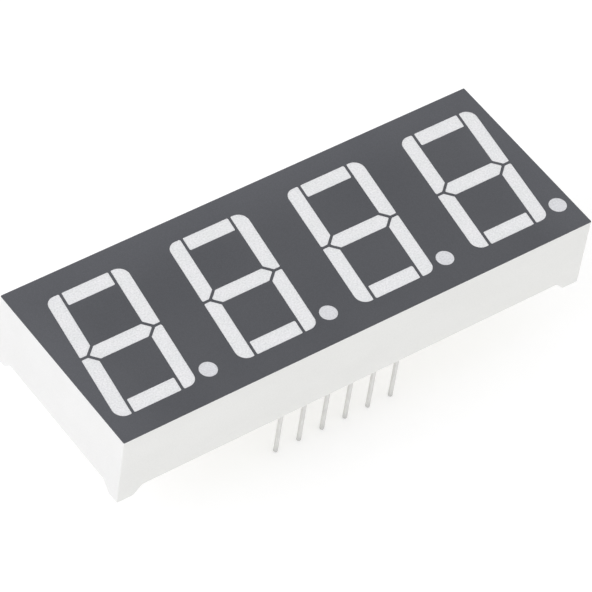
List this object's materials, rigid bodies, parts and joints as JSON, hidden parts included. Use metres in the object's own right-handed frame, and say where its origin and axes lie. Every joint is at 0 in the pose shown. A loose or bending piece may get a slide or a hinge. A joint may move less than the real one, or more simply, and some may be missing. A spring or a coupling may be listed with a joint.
{
  "type": "seven-segment display",
  "caption": "Through-hole display block with slanted seven-segment digits and decimal points on a dark face, a white reflector housing with corner feet and two rows of round pins.",
  "frame": {"origin": "middle of the pin pattern on the plane that the feet stand on", "axes": "+X along the row of digits, left to right as they are read; +Y towards the tops of the digits; +Z out of the face"},
  "size_m": [0.0502, 0.019, 0.0147],
  "materials": {
    "housing": "white moulded plastic with a fine satin surface",
    "face": "matt dark grey ink",
    "segment": "milky cast resin",
    "point": "milky cast resin",
    "board": "green lacquered glass fibre board",
    "chip": "cut semiconductor",
    "wire": "drawn wire",
    "solder": "bright tin solder",
    "pin": "dull tin plating",
    "seal": "cast resin"
  },
  "bodies": {
    "root": {"reflector_housing": "housing", "face_coat": "face", "circuit_board": "board", "solder_joints": "solder", "back_seal": "seal", "digit_1_segment_a": "segment", "digit_1_segment_b": "segment", "digit_1_segment_c": "segment", "digit_1_segment_d": "segment", "digit_1_segment_e": "segment", "digit_1_segment_f": "segment", "digit_1_segment_g": "segment", "digit_1_point": "point", "chips_digit_1": "chip", "wires_digit_1": "wire", "digit_2_segment_a": "segment", "digit_2_segment_b": "segment", "digit_2_segment_c": "segment", "digit_2_segment_d": "segment", "digit_2_segment_e": "segment", "digit_2_segment_f": "segment", "digit_2_segment_g": "segment", "digit_2_point": "point", "chips_digit_2": "chip", "wires_digit_2": "wire", "digit_3_segment_a": "segment", "digit_3_segment_b": "segment", "digit_3_segment_c": "segment", "digit_3_segment_d": "segment", "digit_3_segment_e": "segment", "digit_3_segment_f": "segment", "digit_3_segment_g": "segment", "digit_3_point": "point", "chips_digit_3": "chip", "wires_digit_3": "wire", "digit_4_segment_a": "segment", "digit_4_segment_b": "segment", "digit_4_segment_c": "segment", "digit_4_segment_d": "segment", "digit_4_segment_e": "segment", "digit_4_segment_f": "segment", "digit_4_segment_g": "segment", "digit_4_point": "point", "chips_digit_4": "chip", "wires_digit_4": "wire", "pin_1": "pin", "pin_2": "pin", "pin_3": "pin", "pin_4": "pin", "pin_5": "pin", "pin_6": "pin", "pin_7": "pin", "pin_8": "pin", "pin_9": "pin", "pin_10": "pin", "pin_11": "pin", "pin_12": "pin"}
  },
  "joints": []
}
